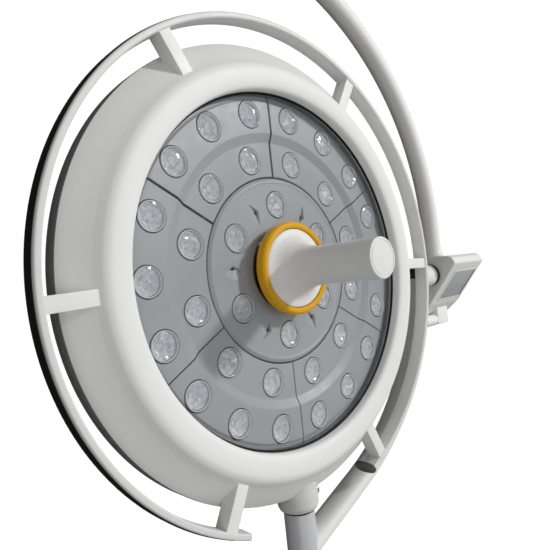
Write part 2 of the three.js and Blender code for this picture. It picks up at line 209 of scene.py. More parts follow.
WHITE = surface("paint_white", (0.79, 0.79, 0.775), 0.46, vary=0.012, spec=0.4, bump=0.05, grain=500)
# the head's white paint made darker for the grab rail: painted shade
RAIL_SHADED = surface("paint_rail_shaded", (0.68, 0.68, 0.665), 0.46, vary=0.012, spec=0.4, bump=0.0, grain=500)
# grey satin paint for the post, made darker still as painted shade from the head above it
POST = surface("paint_post_grey_and_shade", (0.60, 0.605, 0.62), 0.36, metallic=0.15, vary=0.012, spec=0.4, bump=0.04, grain=500)
SHELL = surface("shell_white", (0.80, 0.80, 0.79), 0.50, vary=0.012, spec=0.35, bump=0.04, grain=700)
SLEEVE = surface("sleeve_white", (0.79, 0.79, 0.78), 0.44, vary=0.012, spec=0.4, bump=0.05, grain=1200)
CARRIER = surface("carrier_grey", (0.395, 0.40, 0.41), 0.42, vary=0.03, bump=0.06, grain=1500, big=7.0)
# dark plastic; the flange round each lens also uses it as painted shade
DARK = surface("plastic_dark_and_shade", (0.030, 0.030, 0.032), 0.5, vary=0.15, bump=0.15, grain=1600)
# dark grey band behind the front shell; on the window seat the same grey is painted shade
BAND = surface("band_dark_and_shade", (0.17, 0.172, 0.172), 0.5, vary=0.08, bump=0.1, grain=1200)
CAPDARK = surface("cap_dark", (0.10, 0.10, 0.10), 0.42, vary=0.12, bump=0.1, grain=1200)
RUBBER = surface("rubber_black", (0.006, 0.006, 0.0065), 0.6, vary=0.2, spec=0.25, bump=0.15, grain=1400)
# the head's white paint made darker for the pivot boss: painted shade
BOSS_SHADED = surface("paint_boss_shaded", (0.63, 0.63, 0.615), 0.46, vary=0.012, spec=0.4, bump=0.05, grain=500)
YELLOW = surface("ring_yellow", (0.68, 0.35, 0.003), 0.34, vary=0.04, spec=0.3, bump=0.03, grain=900, big=12.0)
STEEL = surface("steel_turned", (0.56, 0.57, 0.58), 0.28, metallic=1.0, vary=0.05, bump=0.12, grain=300, brushed=(1, 1, 14))
ALU = surface("aluminium", (0.62, 0.63, 0.65), 0.38, metallic=1.0, vary=0.05, bump=0.15, grain=600, brushed=(6, 1, 1))
BRONZE = surface("bronze", (0.47, 0.29, 0.11), 0.33, metallic=1.0, vary=0.08, bump=0.1, grain=500)
# the white LED board made dark grey: painted shade seen through the seams and lens gaps
BOARD = surface("board_dark_painted_shade", (0.30, 0.31, 0.30), 0.45, vary=0.05, bump=0.1, grain=1800)
DISPLAY = surface("display_face", (0.46, 0.48, 0.505), 0.30, vary=0.05, bump=0.05, grain=2000, big=14.0, tint=(0.46, 0.47, 0.48))
KEYS = surface("display_keys", (0.45, 0.47, 0.50), 0.34, vary=0.04, bump=0.05, grain=2000, big=14.0)
EMIT = surface("led_phosphor", (0.86, 0.85, 0.76), 0.5, vary=0.06, bump=0.1, grain=2500, big=60.0)


def crystal(name):
    """Moulded reflector seen through a faceted lens: bright and grey cells with sharp borders, the bright cells a
    painted sparkle that stands in for glints of light.
    """
    mat, nt, out = nt_new(name)
    b = nt.nodes.new("ShaderNodeBsdfPrincipled")
    b.inputs["Metallic"].default_value = 0.25
    v = tex_coord(nt)
    vo = nt.nodes.new("ShaderNodeTexVoronoi")
    vo.inputs["Scale"].default_value = 260.0
    nt.links.new(v, vo.inputs["Vector"])
    sep = nt.nodes.new("ShaderNodeSeparateColor")
    nt.links.new(vo.outputs["Color"], sep.inputs[0])
    # bright cells: painted sparkle highlights
    nt.links.new(ramp(nt, sep.outputs[0], 0.1, 0.6, (0.62, 0.63, 0.66), (0.99, 0.99, 1.0)), b.inputs["Base Color"])
    nt.links.new(rng(nt, sep.outputs[1], 0.08, 0.35), b.inputs["Roughness"])
    bp = nt.nodes.new("ShaderNodeBump")
    bp.inputs["Strength"].default_value = 0.5
    bp.inputs["Distance"].default_value = 0.0012
    nt.links.new(sep.outputs[2], bp.inputs["Height"])
    nt.links.new(bp.outputs["Normal"], b.inputs["Normal"])
    nt.links.new(b.outputs[0], out.inputs[0])
    MATS[name] = mat
    return mat


REFL = crystal("lens_reflector_painted_sparkle")
WINDOW = glassy("window_clear", (0.92, 0.94, 0.96), 1.0, 0.036, 5.0, 0.012, (0.975, 0.98, 0.985))
LENS = glassy("lens_clear", (0.93, 0.94, 0.975), 0.0, 0.26, 3.0, 0.10, (0.985, 0.985, 0.995))

# ------------------------------------------------------------------ mesh helpers
def make(name, verts, faces, mats, body, replaces=(), sharp=32, fmat=None):
    me = bpy.data.meshes.new(name)
    me.from_pydata([tuple(v) for v in verts], [], [tuple(f) for f in faces])
    me.validate()
    for mt in (mats if isinstance(mats, (list, tuple)) else [mats]):
        me.materials.append(mt)
    if fmat is not None:
        me.polygons.foreach_set("material_index", np.array(fmat, np.int32))
    bm = bmesh.new()
    bm.from_mesh(me)
    bmesh.ops.remove_doubles(bm, verts=bm.verts, dist=1e-6)
    bmesh.ops.recalc_face_normals(bm, faces=bm.faces)
    bm.to_mesh(me)
    bm.free()
    if sharp is None:
        me.shade_flat()
    else:
        me.shade_smooth()
        me.set_sharp_from_angle(angle=math.radians(sharp))
    ob = bpy.data.objects.new(name, me)
    scene.collection.objects.link(ob)
    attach(ob, body)
    if replaces:
        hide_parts(*replaces)
    return ob


def fillet(pts, rad, steps=5, closed=False):
    """Rounds the corners of a polyline of (r, h) points. rad is one radius or one per point."""
    n = len(pts)
    rad = [rad] * n if not hasattr(rad, "__len__") else rad
    out = []
    for i in range(n):
        p = np.array(pts[i], float)
        if (not closed and i in (0, n - 1)) or rad[i] <= 0:
            out.append(tuple(p))
            continue
        a, b = np.array(pts[i - 1], float), np.array(pts[(i + 1) % n], float)
        u, w = a - p, b - p
        lu, lw = np.linalg.norm(u), np.linalg.norm(w)
        u, w = u / lu, w / lw
        ang = math.acos(max(-1, min(1, float(u @ w))))
        if ang > math.pi - 0.02:
            out.append(tuple(p))
            continue
        t = min(rad[i] / math.tan(ang / 2), 0.49 * lu, 0.49 * lw)
        r = t * math.tan(ang / 2)
        mid = (u + w) / np.linalg.norm(u + w)
        c = p + mid * (r / math.sin(ang / 2))
        s, e = p + u * t - c, p + w * t - c
        a0, a1 = math.atan2(s[1], s[0]), math.atan2(e[1], e[0])
        d = (a1 - a0 + math.pi) % (2 * math.pi) - math.pi
        for k in range(steps + 1):
            q = a0 + d * k / steps
            out.append((c[0] + r * math.cos(q), c[1] + r * math.sin(q)))
    return out


def spline(pts, sub=4):
    """Catmull-Rom through (r, h) points."""
    p = [np.array(q, float) for q in pts]
    p = [2 * p[0] - p[1]] + p + [2 * p[-1] - p[-2]]
    out = []
    for i in range(1, len(p) - 2):
        for k in range(sub):
            t = k / sub
            out.append(tuple(0.5 * ((2 * p[i]) + (-p[i - 1] + p[i + 1]) * t + (2 * p[i - 1] - 5 * p[i] + 4 * p[i + 1] - p[i + 2]) * t * t
                                    + (-p[i - 1] + 3 * p[i] - 3 * p[i + 1] + p[i + 2]) * t ** 3)))
    out.append(tuple(p[-2]))
    return out


def lathe_vf(profile, seg, axis, centre, a0=0.0, a1=360.0, closed=True):
    """Vertices and faces of a turned shape. profile (r, h) closes on itself unless it starts and ends on the axis."""
    full = abs(a1 - a0) > 359.9
    on_axis = profile[0][0] < 1e-6 and profile[-1][0] < 1e-6
    m_ = len(profile)
    n = seg if full else seg + 1
    verts, faces = [], []
    for i in range(n):
        a = math.radians(a0 + (a1 - a0) * i / seg)
        ca, sa = math.cos(a), math.sin(a)
        for r, h in profile:
            if axis == "z":
                verts.append(L(centre[0] + r * sa, centre[1] - r * ca, centre[2] + h))
            elif axis == "y":
                verts.append(L(centre[0] + r * ca, centre[1] + h, centre[2] + r * sa))
            else:
                verts.append(L(centre[0] + h, centre[1] + r * ca, centre[2] + r * sa))
    for i in range(seg):
        i2 = (i + 1) % n
        for k in range(m_ - 1 if (on_axis or not closed) else m_):
            k2 = (k + 1) % m_
            q = [i * m_ + k, i2 * m_ + k, i2 * m_ + k2, i * m_ + k2]
            if profile[k][0] < 1e-6 and profile[k2][0] < 1e-6:
                continue
            if profile[k][0] < 1e-6:
                q = [q[0], q[2], q[3]]
            elif profile[k2][0] < 1e-6:
                q = [q[0], q[1], q[2]]
            faces.append(q)
    if not full:
        faces.append([k for k in range(m_)])
        faces.append([(n - 1) * m_ + k for k in range(m_)][::-1])
    return verts, faces


def turn(name, profile, axis, centre, mat, body, replaces=(), seg=96, sharp=32):
    v, f = lathe_vf(profile, seg, axis, centre)
    return make(name, v, f, mat, body, replaces, sharp)


def superellipse(a, b, n, p):
    return [(a * math.copysign(abs(math.cos(t)) ** (2 / p), math.cos(t)), b * math.copysign(abs(math.sin(t)) ** (2 / p), math.sin(t)))
            for t in (2 * math.pi * (i + 0.5) / n for i in range(n))]


def sweep_vf(path, section, end0=None, end1=None):
    """path: list of (point, u axis, v axis) in the lamp frame; section: (u, v) points.
    end0, end1: None for a flat end, or a length for a rounded end along the path."""
    stations = []

    def dome(i, sign, length):
        p, u, w = (np.array(x, float) for x in path[i])
        t = np.cross(u, w)
        q = np.array(path[i + 1 if sign < 0 else i - 1][0], float)
        t = t / np.linalg.norm(t) * (1 if np.dot(t, p - q) > 0 else -1)
        rows = []
        for k in range(1, 7):
            a = k / 6.5 * math.pi / 2
            rows.append((p + t * length * math.sin(a), u, w, max(math.cos(a), 0.04)))
        return rows

    body_rows = [(np.array(p, float), np.array(u, float), np.array(w, float), 1.0) for p, u, w in path]
    if end0:
        stations += dome(0, -1, end0)[::-1]
    stations += body_rows
    if end1:
        stations += dome(len(path) - 1, 1, end1)
    n = len(section)
    verts, faces = [], []
    for p, u, w, s in stations:
        for a, b in section:
            q = p + u * a * s + w * b * s
            verts.append(L(*q))
    for i in range(len(stations) - 1):
        for k in range(n):
            k2 = (k + 1) % n
            faces.append([i * n + k, i * n + k2, (i + 1) * n + k2, (i + 1) * n + k])
    faces.append(list(range(n))[::-1])
    faces.append([(len(stations) - 1) * n + k for k in range(n)])
    return verts, faces


def boxy(name, corners, mat, body, replaces=(), bevel=1.5, seg=3, sharp=32, xf=None):
    """Rounded box in lamp frame mm; xf maps local (x, y, z) to the lamp frame."""
    x0, x1, y0, y1, z0, z1 = corners
    bm = bmesh.new()
    bmesh.ops.create_cube(bm, size=1.0)
    for v in bm.verts:
        v.co = Vector(((x0 + x1) / 2 + v.co.x * (x1 - x0), (y0 + y1) / 2 + v.co.y * (y1 - y0), (z0 + z1) / 2 + v.co.z * (z1 - z0)))
    if bevel:
        bmesh.ops.bevel(bm, geom=bm.edges[:], offset=bevel, segments=seg, profile=0.6, affect="EDGES")
    verts = [tuple(v.co) for v in bm.verts]
    faces = [[v.index for v in f.verts] for f in bm.faces]
    bm.verts.index_update()
    faces = [[v.index for v in f.verts] for f in bm.faces]
    bm.free()
    verts = [L(*(xf(*v) if xf else v)) for v in verts]
    return make(name, verts, faces, mat, body, replaces, sharp)


def cutter(verts, faces):
    me = bpy.data.meshes.new("cutter")
    me.from_pydata([tuple(v) for v in verts], [], [tuple(f) for f in faces])
    bm = bmesh.new()
    bm.from_mesh(me)
    bmesh.ops.remove_doubles(bm, verts=bm.verts, dist=1e-7)
    bmesh.ops.recalc_face_normals(bm, faces=bm.faces)
    bm.to_mesh(me)
    bm.free()
    ob = bpy.data.objects.new("cutter", me)
    scene.collection.objects.link(ob)
    return ob


def carve(ob, cutters, sharp=32, op="DIFFERENCE"):
    """Boolean of each cutter from ob, applied to its mesh."""
    for c in cutters:
        md = ob.modifiers.new("cut", "BOOLEAN")
        md.operation = op
        md.solver = "EXACT"
        md.object = c
    bpy.context.view_layer.update()
    dg = bpy.context.evaluated_depsgraph_get()
    me = bpy.data.meshes.new_from_object(ob.evaluated_get(dg))
    ob.modifiers.clear()
    old = ob.data
    ob.data = me
    bpy.data.meshes.remove(old)
    for c in cutters:
        d = c.data
        bpy.data.objects.remove(c)
        bpy.data.meshes.remove(d)
    bm = bmesh.new()
    bm.from_mesh(me)
    bmesh.ops.remove_doubles(bm, verts=bm.verts, dist=2e-6)
    bmesh.ops.dissolve_degenerate(bm, edges=bm.edges, dist=1e-6)
    bm.to_mesh(me)
    bm.free()
    me.shade_smooth()
    me.set_sharp_from_angle(angle=math.radians(sharp))
    return ob


def merged(parts):
    """Joins (verts, faces, material index) lists into one vertex, face and index list."""
    V, F, M = [], [], []
    for v, f, mi in parts:
        o = len(V)
        V += list(v)
        F += [[i + o for i in q] for q in f]
        M += [mi] * len(f)
    return V, F, M


def polar(r, deg):
    a = math.radians(deg)
    return r * math.sin(a), -r * math.cos(a)


# ------------------------------------------------------------------ head shells
outer = spline([(250.1, -1.0), (250.6, 3.4), (252.8, 6.8), (257.4, 8.9), (264.0, 10.1), (272.0, 10.6), (279.0, 9.9), (284.8, 7.2), (289.4, 3.0), (293.4, -1.0), (297.6, -4.8)], 5)
outer = [(250.1, -14.0)] + outer + [(309.0, -14.8), (321.8, -26.1), (322.6, -27.0), (322.3, -27.9), (321.2, -28.4), (319.6, -28.3)]
inner = [(304.0, -14.6), (290.0, -2.2), (282.0, 4.0), (270.0, 8.8), (259.0, 6.0), (253.6, -1.0), (253.6, -14.0)]
turn("front_shell_v", outer + inner, "z", (0, 0, 0), SHELL, "lamp_head", ["front_shell"], seg=240, sharp=40)
turn("gasket_band_v", fillet([(309, -37.4), (309, -28.9), (322.4, -28.9), (323.3, -30.4), (323.3, -34.5), (322.5, -35.1), (322.5, -36.1), (323.3, -36.7), (323.3, -50.0), (321.8, -51.9), (318.7, -51.9), (318.7, -37.4)],
                             [0, 0, .8, .8, .3, .3, .3, .3, 1.5, 1, 0, 0], closed=True), "z", (0, 0, 0), BAND, "lamp_head", ["gasket_band"], seg=240)
rc = spline([(321.7, -54.0), (319.5, -60.0), (315.0, -66.0), (307.0, -72.0), (292.0, -79.0), (268.0, -85.6), (235.0, -90.0), (205.0, -92.4)], 5)
rc = [(317.7, -52.3), (321.6, -52.3)] + rc + fillet([(203, -92.6), (199.5, -91.2), (196, -93.0), (150, -95.4), (92, -97.3), (90, -95.9), (86, -95.9), (84, -97.5), (0, -97.9)],
                                                    [0, 1, 1, 0, .6, .6, .6, .6, 0])
turn("rear_cover_v", [(0, -94.4), (180, -90.8), (268, -82.4), (303, -69.0), (314, -57)] + rc, "z", (0, 0, 0), SHELL, "lamp_head", ["rear_cover"], seg=240, sharp=36)
# recessed screws and air slots in the rear cover
parts = []
for k in range(6):
    x, y = polar(291, 30 + 60 * k)
    v, f = lathe_vf(fillet([(0, -79.6), (2.1, -79.6), (2.1, -82.4), (5.2, -82.8), (5.8, -81.6), (5.8, -72), (0, -72)], [0, .3, .3, .8, .6, 0, 0]), 24, "z", (x, y, 0))
    parts.append((v, f, 0))
V, F, M = merged(parts)
make("rear_cover_screws", V, F, STEEL, "lamp_head", sharp=40)
parts = []
for s in (-1, 1):
    for k in range(9):
        r = 112 + 8.5 * k
        v, f = lathe_vf(fillet([(r - 1.7, -93.0), (r + 1.7, -93.0), (r + 1.7, -94.1 - 0.0), (r + 1.2, -96.9 + (r - 84) * 0.026), (r - 1.2, -96.9 + (r - 84) * 0.026), (r - 1.7, -94.1)],
                               [0, 0, .5, .5, .5, .5], closed=True), 20, "z", (0, 0, 0), 90 * s - 24, 90 * s + 24)
        parts.append((v, f, 0))
V, F, M = merged(parts)
make("rear_cover_ribs", V, F, SHELL, "lamp_head", sharp=40)

# clear window, its gasket and the seat behind it, dark grey as painted shade
turn("front_window_v", fillet([(56.0, -12), (56.0, -8.6), (249.4, -8.6), (249.4, -12)], [.5, .5, 0, 0], closed=True), "z", (0, 0, 0), WINDOW, "lamp_head", ["front_window"], seg=200)
turn("window_gasket_v", fillet([(249.9, -8.5), (247.6, -8.4), (247.1, -7.5), (247.7, -6.8), (249.0, -6.4), (249.9, -5.2)],
                               [0, .4, .4, .4, .3, 0], closed=True), "z", (0, 0, 0), RUBBER, "lamp_head", ["window_gasket"], seg=240)
turn("window_seat", fillet([(248.7, -24.0), (249.9, -24.0), (249.9, -12.1), (248.7, -12.1)], .2, closed=True), "z", (0, 0, 0), BAND, "lamp_head", seg=240)

# ------------------------------------------------------------------ lens carriers
TOP_O, TOP_I, TOP_C, LR = -16.3, -22.2, -21.1, 19.0
RINGS = [(222.2, (10, 30, 50)), (160.0, (15, 45))]
prof = fillet([(134.2, -24.8), (134.2, TOP_I), (183.5, TOP_I), (195.5, TOP_O), (240.5, TOP_O), (243.5, -18.2), (248.6, -18.6), (248.6, -21.0), (196.0, -19.0), (184.5, -24.8)],
              [0, 1.2, 5, 5, 1.5, 1, .5, 0, 0, 0], steps=4, closed=True)
HOLE = LR + 1.3


def hole_cutter(x, y):
    v, f = lathe_vf([(0, -40), (HOLE, -40), (HOLE, 5), (0, 5)], 56, "z", (x, y, 0))
    return cutter(v, f)


for k in range(6):
    a0 = 60.0 * k
    n_seg, m_ = 56, len(prof)
    verts, faces = [], []
    for i in range(n_seg + 1):
        for r, h in prof:
            d0, d1 = math.degrees((1.9 if k in (3, 4) else 1.0) / r), math.degrees((1.9 if k in (2, 3) else 1.0) / r)
            a = math.radians(a0 + d0 + (60.0 - d0 - d1) * i / n_seg)
            verts.append(L(r * math.sin(a), -r * math.cos(a), h))
    for i in range(n_seg):
        for j in range(m_):
            j2 = (j + 1) % m_
            faces.append([i * m_ + j, (i + 1) * m_ + j, (i + 1) * m_ + j2, i * m_ + j2])
    faces.append(list(range(m_)))
    faces.append([n_seg * m_ + j for j in range(m_)][::-1])
    ob = make(f"carrier_{k + 1}_v", verts, faces, CARRIER, "lamp_head", [f"carrier_{k + 1}"], sharp=26)
    carve(ob, [hole_cutter(*polar(r, a0 + a)) for r, angs in RINGS for a in angs], sharp=26)

prof = fillet([(57, -24.6), (57, TOP_C), (124.6, TOP_C), (126.2, TOP_C + 0.7), (128.2, TOP_C + 0.5), (132.2, -23.2), (132.2, -25.6), (124, -24.6)], [0, .8, .6, .8, .8, .8, 0, 0], steps=3, closed=True)
v, f = lathe_vf(prof, 216, "z", (0, 0, 0))
centre = make("centre_carrier_v", v, f, CARRIER, "lamp_head", ["centre_carrier"], sharp=26)
cuts = [hole_cutter(*polar(93.8, 60 * k)) for k in range(6)]
for k in range(6):
    # a shallow dent between two lenses: two steep walls that meet at a kink, and a facet that rises the other way
    a = 30 + 60 * k

    def pt(r, s_, z, a=a):
        ca, sa = math.cos(math.radians(a)), math.sin(math.radians(a))
        return L(r * sa + s_ * ca, -r * ca + s_ * sa, z)
    t, e = TOP_C, (-1 if k in (1, 2, 3, 4) else 1)
    # outline: inner tip, kink, outer tip, shallow side; one deep point near the kink
    top = [(72, 0), (91, 11.0 * e), (109, 0), (91, -8.5 * e)]
    vs = [pt(r, q, t + 4) for r, q in top] + [pt(r, q, t) for r, q in top] + [pt(90.5, 8.4 * e, t - 4.6)]
    fs = [[3, 2, 1, 0]] + [[i, (i + 1) % 4, 4 + (i + 1) % 4, 4 + i] for i in range(4)] + [[4 + i, 4 + (i + 1) % 4, 8] for i in range(4)]
    cuts.append(cutter(vs, fs))
carve(centre, cuts, sharp=9)

# ------------------------------------------------------------------ lenses
rnd = np.random.RandomState(7)


def lens_parts(x, y, top, spin):
    """One clear collimator: a faceted dish lens over a faceted reflector cup with the light source at its bottom."""
    out = []
    ca, sa = math.cos(spin), math.sin(spin)

    def at(r, a, h):
        px, py = r * math.cos(a), r * math.sin(a)
        return L(x + px * ca - py * sa, y + px * sa + py * ca, top + h)
    # rim of the moulding
    v, f = lathe_vf(fillet([(LR - 1.6, -2.4), (LR - 1.7, 0.5), (LR - 0.9, 1.3), (LR - 0.1, 0.5), (LR, -2.4)], [0, .5, .4, .4, 0], steps=3, closed=True), 40, "z", (x, y, top))
    out.append((v, f, 1))
    # a dark flange under the carrier round the lens, seen through the gap: painted shade in the hole
    v, f = lathe_vf([(LR - 2.0, -3.4), (LR + 4.5, -3.4), (LR + 4.5, -4.4), (LR - 2.0, -4.4)], 36, "z", (x, y, top))
    out.append((v, f, 4))
    # faceted front: rings of facets at uneven heights, lower in the middle
    rings = [(0.0, 1, -1.0), (3.6, 6, -0.5), (7.6, 12, 0.7), (11.6, 16, 0.1), (14.8, 20, 0.9), (LR - 1.7, 24, 0.1)]
    idx, vs = [], []
    for r, n_, h in rings:
        row = []
        for i in range(n_):
            a = 2 * math.pi * (i + 0.5 * (len(idx) % 2)) / n_
            row.append(len(vs))
            vs.append(at(r, a, h + (rnd.uniform(-0.45, 0.45) if 0 < r < LR - 2 else 0)))
        idx.append(row)
    fs = []
    for a_row, b_row in zip(idx[:-1], idx[1:]):
        na, nb = len(a_row), len(b_row)
        i = j = 0
        while i < na or j < nb:
            if na == 1:
                if j >= nb:
                    break
                fs.append([a_row[0], b_row[j % nb], b_row[(j + 1) % nb]])
                j += 1
                continue
            if j < nb and (i >= na or (j + 1) / nb <= (i + 1) / na):
                fs.append([a_row[i % na], b_row[j % nb], b_row[(j + 1) % nb]])
                j += 1
            else:
                fs.append([a_row[i % na], b_row[j % nb], a_row[(i + 1) % na]])
                i += 1
    out.append((vs, fs, 0))
    # reflector cup behind it
    cup = [(LR - 0.3, -2.4), (LR - 3.0, -6.5), (LR - 7.0, -11.5), (LR - 11.5, -16.0), (5.2, -18.0)]
    vs, fs, ns = [], [], 18
    for q, (r, h) in enumerate(cup):
        for i in range(ns):
            jr, jh = (rnd.uniform(-0.9, 0.9), rnd.uniform(-1.1, 1.1)) if 0 < q < len(cup) - 1 else (0, 0)
            vs.append(at(r + jr, 2 * math.pi * (i + 0.5 * (q % 2)) / ns, h + jh))
    for q in range(len(cup) - 1):
        for i in range(ns):
            i2 = (i + 1) % ns
            a_, b_, c_, d_ = q * ns + i, q * ns + i2, (q + 1) * ns + i2, (q + 1) * ns + i
            if q % 2 == 0:
                fs += [[a_, b_, d_], [b_, c_, d_]]
            else:
                fs += [[a_, b_, c_], [a_, c_, d_]]
    fs.append([(len(cup) - 1) * ns + i for i in range(ns)])
    out.append((vs, fs, 2))
    # the source: a small domed emitter
    v, f = lathe_vf([(0, -14.6), (1.6, -14.9), (2.9, -16.0), (3.2, -17.6), (0, -17.6)], 12, "z", (x, y, top))
    out.append((v, f, 3))
    return out


def lens_object(name, places, cad):
    parts = []
    for i, (x, y, top) in enumerate(places):
        parts += lens_parts(x, y, top, rnd.uniform(0, 2 * math.pi))
    V, F, M = merged(parts)
    me = bpy.data.meshes.new(name)
    me.from_pydata([tuple(v) for v in V], [], [tuple(q) for q in F])
    for mt in (LENS, LENS_RIM, REFL, EMIT, DARK):
        me.materials.append(mt)
    me.polygons.foreach_set("material_index", np.array(M, np.int32))
    me.polygons.foreach_set("use_smooth", np.array([mi in (1, 3) for mi in M], bool))
    me.update()
    ob = bpy.data.objects.new(name, me)
    scene.collection.objects.link(ob)
    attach(ob, "lamp_head")
    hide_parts(cad)


LENS_RIM = surface("lens_rim", (0.64, 0.65, 0.69), 0.12, vary=0.05, coat=0.4, coat_rough=0.05, bump=0.02, grain=900, big=40.0)
for k in range(6):
    lens_object(f"lens_array_{k + 1}_v", [(*polar(r, 60 * k + a), (TOP_O if r > 190 else TOP_I) + 0.3) for r, angs in RINGS for a in angs], f"lens_array_{k + 1}")
lens_object("centre_lens_array_v", [(*polar(93.8, 60 * k), TOP_C + 0.3) for k in range(6)], "centre_lens_array")

# ------------------------------------------------------------------ grab rail, its rubber strip, ends and struts
def rail_path(a0, a1, n_, r=RAIL_R, z=RAIL_Z):
    out = []
    for i in range(n_ + 1):
        a = math.radians(a0 + (a1 - a0) * i / n_)
        radial = (math.sin(a), -math.cos(a), 0)
        out.append(((r * radial[0], r * radial[1], z), radial, (0, 0, 1)))
    return out




def round_rect(a, b, r, steps=5):
    return fillet([(-a, -b), (a, -b), (a, b), (-a, b)], r, steps, closed=True)


# rail body in the darker rail paint, which paints in shade
v, f = sweep_vf(rail_path(RAIL_END, 360 - RAIL_END, 520), round_rect(RAIL_A, RAIL_B, 2.6, 10))
make("grab_rail_v", v, f, RAIL_SHADED, "lamp_head", ["grab_rail"], sharp=8)
strip = fillet([(RAIL_A - 0.3, 7.0), (RAIL_A + 1.2, 6.8), (RAIL_A + 1.9, 3.0), (RAIL_A + 1.9, -8.0), (RAIL_A + 1.3, -11.4), (RAIL_A - 1.2, -12.0), (RAIL_A - 1.0, -9)], [0, .6, 2, 2, .8, .4, 0], closed=True)
parts = []
for a0, a1 in ((RAIL_END + 3.5, 81.0), (81.5, 158.0), (158.5, 236.0), (236.5, 311.5), (312.0, 360 - RAIL_END - 3.5)):
    v, f = sweep_vf(rail_path(a0, a1, max(8, int((a1 - a0) / 1.5))), strip, 1.5, 1.5)
    parts.append((v, f, 0))
V, F, M = merged(parts)
make("rail_bumper_v", V, F, RUBBER, "lamp_head", ["rail_bumper"], sharp=40)
sec = round_rect(RAIL_A + 0.1, RAIL_B + 0.1, 2.7)
v, f = sweep_vf(rail_path(360 - RAIL_END - 0.3, 360 - RAIL_END + 0.05, 2), sec, None, 3.6)
make("rail_end_cap_left_v", v, f, RAIL_SHADED, "lamp_head", ["rail_end_cap_left"], sharp=40)
# the right end carries a wider oval button with a groove round it
sec = superellipse(9.0, 19.5, 44, 2.5)
rows = []
for d_, sc in ((0.30, 0.86), (0.34, 0.97), (0.20, 1.0), (-0.02, 1.0), (-0.06, 0.93), (-0.12, 0.93), (-0.16, 1.0), (-0.30, 1.0), (-0.42, 0.96), (-0.47, 0.88), (-0.47, 0.80), (-0.40, 0.74)):
    a_ = math.radians(RAIL_END + d_)
    rad = (math.sin(a_), -math.cos(a_), 0)
    rows.append(((349.4 * rad[0], 349.4 * rad[1], -14.0), tuple(c_ * sc for c_ in rad), (0, 0, sc)))
v, f = sweep_vf(rows, sec)
make("rail_end_cap_right_v", v, f, CAPDARK, "lamp_head", ["rail_end_cap_right"], sharp=35)

k = 0
for a in (26.6, 87.8, 149.2):
    for sgn in (-1, 1):
        k += 1
        ang = math.radians(sgn * a)

        def xf(x, y, z, ang=ang):
            return (x * math.cos(ang) - y * math.sin(ang), x * math.sin(ang) + y * math.cos(ang), z)
        boxy(f"strut_{k}_v", (-9, 9, -345.4, -284, -20.6, 2.2), WHITE, "lamp_head", [f"strut_{k}"], bevel=1.0, seg=3, xf=xf)

# ------------------------------------------------------------------ outer bow
BR, BCY, BT = 455.0, 56.0, 17.3
path = []
for i in range(91):
    a = math.radians(90.0 * i / 90)
    rad = (math.sin(a), math.cos(a), 0)
    path.append(((BR * rad[0], BCY + BR * rad[1], AXN), rad, (0, 0, 1)))
for y in (30, 0, -8):
    path.append(((BR, y, AXN), (1, 0, 0), (0, 0, 1)))
v, f = sweep_vf(path, superellipse(BT, BT, 40, 2.0))
bt = BCY + BR
col = [(0, bt - 30), (8, bt - 29.6), (16, bt - 27), (22.4, bt - 21.5), (25.8, bt - 14), (27, bt - 4)]
col = spline(col, 4) + fillet([(27, bt + 10), (27, TOP - 80.5), (25.2, TOP - 78.2), (0, TOP - 78.2)], [0, 2, 1, 0])
v2, f2 = lathe_vf(col, 64, "y", (0, 0, AXN))
fl = spline([(BT + 0.1, 16), (BT + 0.8, 9), (BT + 2.2, 3.5), (BT + 3.9, 0.2)], 3) + fillet([(BT + 4.2, -1.4), (BT + 4.2, -3.4), (BT - 3, -3.4), (BT - 3, 16)], [.6, .3, 0, 0])
v3, f3 = lathe_vf(fl, 56, "y", (BR + 2.0, 0, AXN))
V, F, M = merged([(v, f, 0), (v2, f2, 0), (v3, f3, 0)])
make("outer_bow_tube_v", V, F, WHITE, "outer_bow", ["outer_bow_tube"], sharp=40)
# cable cover let into the back of the bow
path = []
for i in range(61):
    a = math.radians(6.5 + 40.0 * i / 60)
    rad = (math.sin(a), math.cos(a), 0)
    path.append(((BR * rad[0], BCY + BR * rad[1], AXN), rad, (0, 0, 1)))
sect = fillet([(BT - 2.5, -6.0), (BT + 0.4, -6.0), (BT + 2.2, -3.8), (BT + 2.5, 0), (BT + 2.2, 3.8), (BT + 0.4, 6.0), (BT - 2.5, 6.0)], [0, .6, 1, 2, 1, .6, 0], closed=True)
v, f = sweep_vf(path, sect)
make("bow_cable_cover_v", v, f, WHITE, "outer_bow", ["bow_cable_cover"], sharp=40)

# ------------------------------------------------------------------ arm coupling
fl_prof = fillet([(0, TOP - 12), (50, TOP - 12), (50, TOP), (0, TOP)], [0, 1.5, 1.5, 0])
ob = turn("arm_flange_v", fl_prof, "y", (0, 0, AXN), WHITE, "arm_coupling", ["arm_flange"], seg=96)
cuts = []
for a in (45, 135, 225, 315):
    x, z = 38 * math.sin(math.radians(a)), -38 * math.cos(math.radians(a))
    v, f = lathe_vf([(0, TOP - 20), (4.5, TOP - 20), (4.5, TOP + 5), (0, TOP + 5)], 28, "y", (x, 0, AXN + z))
    cuts.append(cutter(v, f))
carve(ob, cuts)
turn("swivel_housing_v", fillet([(24.3, TOP - 77.5), (35, TOP - 77.5), (35, TOP - 12.3), (26.5, TOP - 12.3), (26.5, TOP - 33.7), (24.3, TOP - 33.7)], [.4, 1, 0, 0, 0, 0], closed=True), "y", (0, 0, AXN),
     ALU, "arm_coupling", ["swivel_housing"])
turn("swivel_bush_v", fillet([(20.4, TOP - 75), (24, TOP - 75), (24, TOP - 34), (20.4, TOP - 34)], .4, closed=True), "y", (0, 0, AXN), BRONZE, "arm_coupling", ["swivel_bush"])
